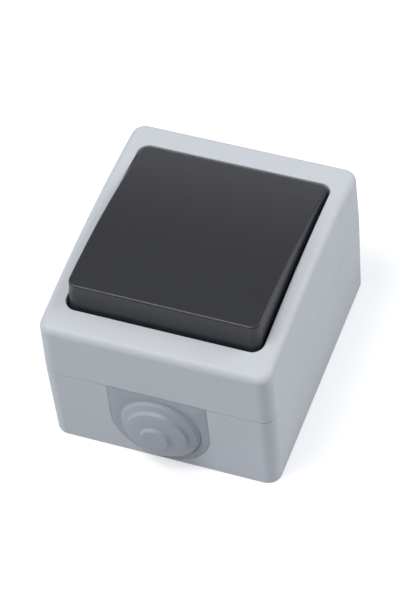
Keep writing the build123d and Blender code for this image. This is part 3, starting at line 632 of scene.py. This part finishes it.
def make_spring():
    """Compression spring that pushes the plunger onto the contact bridge."""
    shape = bpy.context.scene.switch_shape
    mesh = grown_mesh("toggle_coil", spring_tree(), [(0, 0, 0)], {
        "Radius": COIL_RADIUS, "Wire": shape.spring_wire, "Turns": float(shape.spring_turns),
        "Bottom": SPRING_BOTTOM, "Top": SPRING_TOP, "Tilt": -TILT, "Pivot": PIVOT.z,
        "Finish": finish_of("bright_steel"),
    })
    piece = keep_piece(bpy.data.objects.new(mesh.name, mesh), "bright_steel", "toggle_spring")
    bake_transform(piece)


def screw_tree():
    """Slotted pan head screws with wound threads, whose heads stand on the seed points."""
    # How far the top of the head draws in and its rim bows down, as shares of radius and height
    draw_in, draw_power = 0.1, 6.0
    bow_down = -0.16
    rings_per_turn = 8.0
    tree, size = new_tree("Slotted screw", [
        "Shank Radius", "Shank Length", "Head Radius", "Head Height", "Slot Width", "Slot Depth",
        "Thread Pitch", "Thread Depth", "Point",
    ])
    position = add_node(tree, "GeometryNodeInputPosition")
    spot = add_node(tree, "ShaderNodeSeparateXYZ", {0: position}).outputs
    x_square = add_node(tree, MATH, {0: spot["X"], 1: spot["X"]}, operation="MULTIPLY")
    y_square = add_node(tree, MATH, {0: spot["Y"], 1: spot["Y"]}, operation="MULTIPLY")
    squares = add_node(tree, MATH, {0: x_square, 1: y_square}, operation="ADD")
    reach = add_node(tree, MATH, {0: squares}, operation="SQRT")

    # Head: a drum with rings, whose top draws in and bows down towards the rim
    drum = add_node(
        tree, "GeometryNodeMeshCylinder",
        {"Vertices": 56, "Side Segments": 10, "Fill Segments": 8, "Radius": size["Head Radius"],
         "Depth": size["Head Height"]},
    )
    drum_low = add_node(tree, MATH, {0: size["Head Height"], 1: -0.5}, operation="MULTIPLY")
    drum_high = add_node(tree, MATH, {0: size["Head Height"], 1: 0.5}, operation="MULTIPLY")
    share = add_node(
        tree, "ShaderNodeMapRange",
        {"Value": spot["Z"], "From Min": drum_low, "From Max": drum_high},
    )
    steep = add_node(tree, MATH, {0: share, 1: draw_power}, operation="POWER")
    drawn = add_node(tree, MATH, {0: steep, 1: draw_in}, operation="MULTIPLY")
    shrink = add_node(tree, MATH, {0: 1.0, 1: drawn}, operation="SUBTRACT")
    outwards = add_node(tree, MATH, {0: reach, 1: size["Head Radius"]}, operation="DIVIDE")
    dome = add_node(tree, MATH, {0: outwards, 1: 2.0}, operation="POWER")
    depth = add_node(tree, MATH, {0: size["Head Height"], 1: bow_down}, operation="MULTIPLY")
    rim_bow = add_node(tree, MATH, {0: dome, 1: depth}, operation="MULTIPLY")
    bow = add_node(tree, MATH, {0: rim_bow, 1: share}, operation="MULTIPLY")
    head_x = add_node(tree, MATH, {0: spot["X"], 1: shrink}, operation="MULTIPLY")
    head_y = add_node(tree, MATH, {0: spot["Y"], 1: shrink}, operation="MULTIPLY")
    bowed = add_node(tree, MATH, {0: spot["Z"], 1: bow}, operation="ADD")
    head_z = add_node(tree, MATH, {0: bowed, 1: drum_high}, operation="ADD")
    head_place = add_node(
        tree, "ShaderNodeCombineXYZ", {"X": head_x, "Y": head_y, "Z": head_z}
    )
    head = add_node(
        tree, "GeometryNodeSetPosition", {"Geometry": drum, "Position": head_place}
    )

    # Slot: its cutter is longer than the head is wide, and its upper half stands over the head
    slot_length = add_node(tree, MATH, {0: size["Head Radius"], 1: 3.0}, operation="MULTIPLY")
    slot_height = add_node(tree, MATH, {0: size["Slot Depth"], 1: 2.0}, operation="MULTIPLY")
    slot_size = add_node(
        tree, "ShaderNodeCombineXYZ", {"X": slot_length, "Y": size["Slot Width"], "Z": slot_height}
    )
    slot_lift = add_node(tree, "ShaderNodeCombineXYZ", {"Z": size["Head Height"]})
    block = add_node(tree, "GeometryNodeMeshCube", {"Size": slot_size})
    slot = add_node(tree, "GeometryNodeTransform", {"Geometry": block, "Translation": slot_lift})
    slotted = add_node(
        tree, "GeometryNodeMeshBoolean", {"Mesh 1": head, "Mesh 2": slot}, operation="DIFFERENCE"
    )

    # Thread: the shank is cut in along a winding, and its tip is drawn in to the point
    turns = add_node(
        tree, MATH, {0: size["Shank Length"], 1: size["Thread Pitch"]}, operation="DIVIDE"
    )
    rings = add_node(tree, MATH, {0: turns, 1: rings_per_turn}, operation="MULTIPLY")
    shank = add_node(
        tree, "GeometryNodeMeshCylinder",
        {"Vertices": 32, "Side Segments": rings, "Radius": size["Shank Radius"],
         "Depth": size["Shank Length"]},
    )
    climb = add_node(tree, MATH, {0: spot["Z"], 1: size["Thread Pitch"]}, operation="DIVIDE")
    bearing = add_node(tree, MATH, {0: spot["Y"], 1: spot["X"]}, operation="ARCTAN2")
    way_round = add_node(tree, MATH, {0: bearing, 1: 2 * pi}, operation="DIVIDE")
    wound = add_node(tree, MATH, {0: climb, 1: way_round}, operation="ADD")
    half_flank = add_node(tree, MATH, {0: wound, 1: 0.5}, operation="PINGPONG")
    flank = add_node(tree, MATH, {0: half_flank, 1: 2.0}, operation="MULTIPLY")
    depth_share = add_node(
        tree, MATH, {0: size["Thread Depth"], 1: size["Shank Radius"]}, operation="DIVIDE"
    )
    cut = add_node(tree, MATH, {0: flank, 1: depth_share}, operation="MULTIPLY")
    shank_low = add_node(tree, MATH, {0: size["Shank Length"], 1: -0.5}, operation="MULTIPLY")
    tip_high = add_node(tree, MATH, {0: shank_low, 1: size["Shank Radius"]}, operation="ADD")
    tip = add_node(
        tree, "ShaderNodeMapRange",
        {"Value": spot["Z"], "From Min": shank_low, "From Max": tip_high,
         "To Min": size["Point"], "To Max": 1.0},
    )
    uncut = add_node(tree, MATH, {0: 1.0, 1: cut}, operation="SUBTRACT")
    slim = add_node(tree, MATH, {0: uncut, 1: tip}, operation="MULTIPLY")
    shank_x = add_node(tree, MATH, {0: spot["X"], 1: slim}, operation="MULTIPLY")
    shank_y = add_node(tree, MATH, {0: spot["Y"], 1: slim}, operation="MULTIPLY")
    half_shank = add_node(tree, MATH, {0: size["Shank Length"], 1: 0.5}, operation="MULTIPLY")
    shank_z = add_node(tree, MATH, {0: spot["Z"], 1: half_shank}, operation="SUBTRACT")
    shank_place = add_node(
        tree, "ShaderNodeCombineXYZ", {"X": shank_x, "Y": shank_y, "Z": shank_z}
    )
    thread = add_node(
        tree, "GeometryNodeSetPosition", {"Geometry": shank, "Position": shank_place}
    )

    screw = add_node(tree, "GeometryNodeJoinGeometry", {"Geometry": [slotted, thread]})
    turned = add_node(
        tree, "FunctionNodeRandomValue", {2: 0.0, 3: pi, "Seed": 7}, data_type="FLOAT"
    ).outputs[1]
    spun = add_node(tree, "ShaderNodeCombineXYZ", {"Z": turned})
    placed = add_node(
        tree, "GeometryNodeInstanceOnPoints",
        {"Points": size["Geometry"], "Instance": screw, "Rotation": spun},
    )
    close_tree(tree, placed, size["Finish"])
    return tree


SCREWS = (
    # Piece, node, shank radius, head radius and head height in millimetres, and shares: of the
    # thread's pitch and depth, and of the shank's radius that is left at the point
    ("cover_screws_threaded", "cover_screws", 1.5, 2.8, 1.8, 1.0, 0.55),
    ("mechanism_screws_threaded", "mechanism_screws", 1.5, 2.8, 1.8, 1.0, 0.55),
    ("terminal_screws_threaded", "terminal_screws", 1.7, 2.9, 2.0, 0.7, 0.8),
    ("earth_screw_threaded", "earth_screw", 1.7, 2.9, 2.0, 0.7, 0.8),
)


def solid_middles(node):
    """Middles of a node's separate solids, each with its lowest and highest point."""
    near = {}
    for vertex in frame["nodes"][node].data.vertices:
        for key in near:
            if (vertex.co.xy - Vector(key)).length < SCREW_REACH:
                near[key].append(vertex.co.copy())
                break
        else:
            near[tuple(vertex.co.xy)] = [vertex.co.copy()]
    spots = []
    for points in near.values():
        x = [point.x for point in points]
        y = [point.y for point in points]
        z = [point.z for point in points]
        spots.append(((min(x) + max(x)) / 2, (min(y) + max(y)) / 2, min(z), max(z)))
    return spots


def make_screws():
    """Threaded and slotted screws where the solids have plain shanks."""
    shape = bpy.context.scene.switch_shape
    tree = screw_tree()
    for name, node, shank, head, height, share, point in SCREWS:
        spots = solid_middles(node)
        seats = [(x, y, high - height * MM) for x, y, _, high in spots]
        # The screws of one node are alike, so one length does for all
        length = (seats[0][2] - spots[0][2]) / MM
        mesh = grown_mesh(name, tree, seats, {
            "Shank Radius": shank * MM, "Shank Length": length * MM, "Head Radius": head * MM,
            "Head Height": height * MM, "Slot Width": shape.slot_width, "Slot Depth": SLOT_DEPTH,
            "Thread Pitch": shape.thread_pitch * share, "Thread Depth": shape.thread_depth * share,
            "Point": point, "Finish": finish_of("zinc_plated_steel"),
        })
        piece = bpy.data.objects.new(name, mesh)
        bpy.context.scene.collection.objects.link(piece)
        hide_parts(node)
        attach(piece, "root")


INNER_PARTS = (
    "cover_gasket", "cover_screw_seals", "rocker_cradle", "pivot_pin", "toggle_plunger",
    "mechanism_frame", "mechanism_body", "common_strip", "way_one_strip", "way_two_strip",
    "fixed_contacts", "contact_bridge", "moving_contacts", "common_clamp", "way_one_clamp",
    "way_two_clamp", "earth_terminal",
)


def make_floor():
    """White paper sweep that still takes the object's shadow."""
    stage = bpy.context.scene.switch_stage
    fibre_width = 2 * MM
    mesh = bpy.data.meshes.new("paper_sweep")
    corners = [(x * FLOOR_HALF, y * FLOOR_HALF, 0) for x, y in ((-1, -1), (1, -1), (1, 1), (-1, 1))]
    mesh.from_pydata(corners, [], [(0, 1, 2, 3)])
    mesh.transform(Matrix.Translation((0, 0, FLOOR_SINK)))
    floor = bpy.data.objects.new("paper_sweep", mesh)
    bpy.context.scene.collection.objects.link(floor)
    # Matt coated paper: even and white, and lifted towards the background's white for the camera,
    # for reflections and through clear pieces
    material, tree, shader, place = new_material("Paper, coated, matt white")
    fibres = add_node(
        tree, "ShaderNodeTexNoise", {"Vector": place, "Scale": 1 / fibre_width, "Detail": 2.0}
    )
    vary_colour(tree, shader, stage.floor, fibres, darker=0.995, lighter=1.005)
    shader.inputs["Roughness"].default_value = 0.9
    rays = add_node(tree, "ShaderNodeLightPath").outputs
    seen = rays["Is Camera Ray"]
    for ray in ("Is Glossy Ray", "Is Transmission Ray"):
        seen = add_node(tree, MATH, {0: seen, 1: rays[ray]}, operation="MAXIMUM")
    strength = add_node(tree, MATH, {0: seen, 1: FLOOR_GLOW}, operation="MULTIPLY")
    glow = add_node(tree, "ShaderNodeEmission", {"Color": WHITE, "Strength": strength})
    lit = add_node(tree, "ShaderNodeAddShader", {0: shader, 1: glow})
    output = [node for node in tree.nodes if node.bl_idname == "ShaderNodeOutputMaterial"][0]
    tree.links.new(lit.outputs["Shader"], output.inputs["Surface"])
    mesh.materials.append(material)


def make_surroundings():
    """Even white surroundings, seen as plain white by the camera."""
    stage = bpy.context.scene.switch_stage
    world = bpy.data.worlds.new("White studio")
    bpy.context.scene.world = world
    world.use_nodes = True
    tree = world.node_tree
    tree.nodes.clear()
    rays = add_node(tree, "ShaderNodeLightPath").outputs
    strength = add_node(
        tree, "ShaderNodeMapRange",
        {"Value": rays["Is Camera Ray"], "To Min": stage.surroundings, "To Max": 1.0},
    )
    background = add_node(tree, "ShaderNodeBackground", {"Color": WHITE, "Strength": strength})
    add_node(tree, "ShaderNodeOutputWorld", {"Surface": background})


# Soft boxes: name, place and width in metres, and the setting that holds the power
LAMPS = (
    ("Left soft box", (-0.92, -0.53, 0.75), 0.8, "left"),
    ("Top soft box", (-0.28, -0.28, 1.24), 0.5, "top"),
    ("Right soft box", (0.85, 0.42, 0.9), 0.7, "right"),
    ("Rear soft box", (0.83, 0.74, 0.67), 0.6, "rear"),
    ("Far soft box", (-0.4, 1.25, 0.3), 0.8, "far"),
)


def add_lamp(name, place, size, power):
    """Square soft box that looks at the middle of the switch."""
    data = bpy.data.lights.new(name, "AREA")
    data.shape = "SQUARE"
    data.size = size
    data.energy = power
    lamp = bpy.data.objects.new(name, data)
    lamp.location = place
    lamp.rotation_euler = (AIM - Vector(place)).to_track_quat("-Z", "Y").to_euler()
    bpy.context.scene.collection.objects.link(lamp)


def make_camera():
    """Camera at the angle, distance and focal length that were fitted to the picture."""
    azimuth, elevation, roll = radians(25.07), radians(51.092), radians(-6.74)
    target = Vector((-1.692, -0.136, 22.994)) * MM
    distance = 846.58 * MM
    focal_pixels = 3078.15
    back = Vector((sin(azimuth) * cos(elevation), -cos(azimuth) * cos(elevation), sin(elevation)))
    right = (-back).cross(Vector((0, 0, 1))).normalized()
    up = right.cross(-back)
    rolled_right = cos(roll) * right + sin(roll) * up
    rolled_up = -sin(roll) * right + cos(roll) * up
    data = bpy.data.cameras.new("Camera")
    data.sensor_width = SENSOR
    data.lens = focal_pixels * SENSOR / IMAGE_HEIGHT
    data.clip_start = 0.05
    data.clip_end = 20.0
    camera = bpy.data.objects.new("Camera", data)
    turn = Matrix((rolled_right, rolled_up, back)).transposed().to_4x4()
    camera.matrix_world = Matrix.Translation(target + distance * back) @ turn
    bpy.context.scene.collection.objects.link(camera)
    bpy.context.scene.camera = camera


class SWITCH_OT_housing(bpy.types.Operator):
    """Dress the base and the cover"""

    bl_idname = "switch.housing"
    bl_label = "Housing"

    def execute(self, context):
        for node in ("base", "cover"):
            dress_node(node, context.scene.switch_shape.edge)
        return {"FINISHED"}


class SWITCH_OT_rocker(bpy.types.Operator):
    """Dress the rocker"""

    bl_idname = "switch.rocker"
    bl_label = "Rocker"

    def execute(self, context):
        dress_node("rocker", context.scene.switch_shape.edge)
        return {"FINISHED"}


class SWITCH_OT_grommet(bpy.types.Operator):
    """Make the cable grommet with its stepped membrane"""

    bl_idname = "switch.grommet"
    bl_label = "Cable grommet"

    def execute(self, context):
        make_grommet()
        return {"FINISHED"}


class SWITCH_OT_seal(bpy.types.Operator):
    """Make the bellows under the rocker"""

    bl_idname = "switch.seal"
    bl_label = "Rocker seal"

    def execute(self, context):
        make_seal()
        return {"FINISHED"}


class SWITCH_OT_spring(bpy.types.Operator):
    """Wind the plunger's spring"""

    bl_idname = "switch.spring"
    bl_label = "Plunger spring"

    def execute(self, context):
        make_spring()
        return {"FINISHED"}


class SWITCH_OT_screws(bpy.types.Operator):
    """Make the fastening and terminal screws"""

    bl_idname = "switch.screws"
    bl_label = "Screws"

    def execute(self, context):
        make_screws()
        return {"FINISHED"}


class SWITCH_OT_inner_parts(bpy.types.Operator):
    """Dress the mechanism, the contacts, the terminals and the small seals"""

    bl_idname = "switch.inner_parts"
    bl_label = "Inner parts"

    def execute(self, context):
        for node in INNER_PARTS:
            dress_node(node, INNER_EDGE * context.scene.switch_shape.edge)
        return {"FINISHED"}


class SWITCH_OT_stage(bpy.types.Operator):
    """Set the floor, the surroundings, the lamps and the camera"""

    bl_idname = "switch.stage"
    bl_label = "Stage"

    def execute(self, context):
        stage = context.scene.switch_stage
        make_floor()
        make_surroundings()
        for name, place, size, power in LAMPS:
            add_lamp(name, place, size, getattr(stage, power))
        make_camera()
        context.scene.view_settings.view_transform = "Standard"
        return {"FINISHED"}


OPERATORS = (
    SWITCH_OT_housing, SWITCH_OT_rocker, SWITCH_OT_grommet, SWITCH_OT_seal, SWITCH_OT_spring,
    SWITCH_OT_screws, SWITCH_OT_inner_parts, SWITCH_OT_stage,
)


class SWITCH_PT_sidebar(bpy.types.Panel):
    """Sizes, colours and pieces of the switch"""

    bl_label = "Rocker switch"
    bl_idname = "SWITCH_PT_sidebar"
    bl_space_type = "VIEW_3D"
    bl_region_type = "UI"
    bl_category = "Switch"

    def draw(self, context):
        scene = context.scene
        for group in (scene.switch_finish, scene.switch_shape, scene.switch_stage):
            box = self.layout.box()
            for name in group.__annotations__:
                box.prop(group, name)
        for operator in OPERATORS:
            self.layout.operator(operator.bl_idname)


CLASSES = (SwitchFinish, SwitchShape, SwitchStage) + OPERATORS + (SWITCH_PT_sidebar,)


def register():
    """Makes the settings, the operators and the panel known."""
    for cls in CLASSES:
        bpy.utils.register_class(cls)
    bpy.types.Scene.switch_finish = PointerProperty(type=SwitchFinish)
    bpy.types.Scene.switch_shape = PointerProperty(type=SwitchShape)
    bpy.types.Scene.switch_stage = PointerProperty(type=SwitchStage)


def unregister():
    """Takes them away again."""
    del bpy.types.Scene.switch_stage
    del bpy.types.Scene.switch_shape
    del bpy.types.Scene.switch_finish
    for cls in reversed(CLASSES):
        bpy.utils.unregister_class(cls)


def main():
    """Makes every piece and the stage."""
    register()
    bpy.ops.switch.housing()
    bpy.ops.switch.rocker()
    bpy.ops.switch.grommet()
    bpy.ops.switch.seal()
    bpy.ops.switch.spring()
    bpy.ops.switch.screws()
    bpy.ops.switch.inner_parts()
    bpy.ops.switch.stage()


if __name__ == "__main__":
    main()
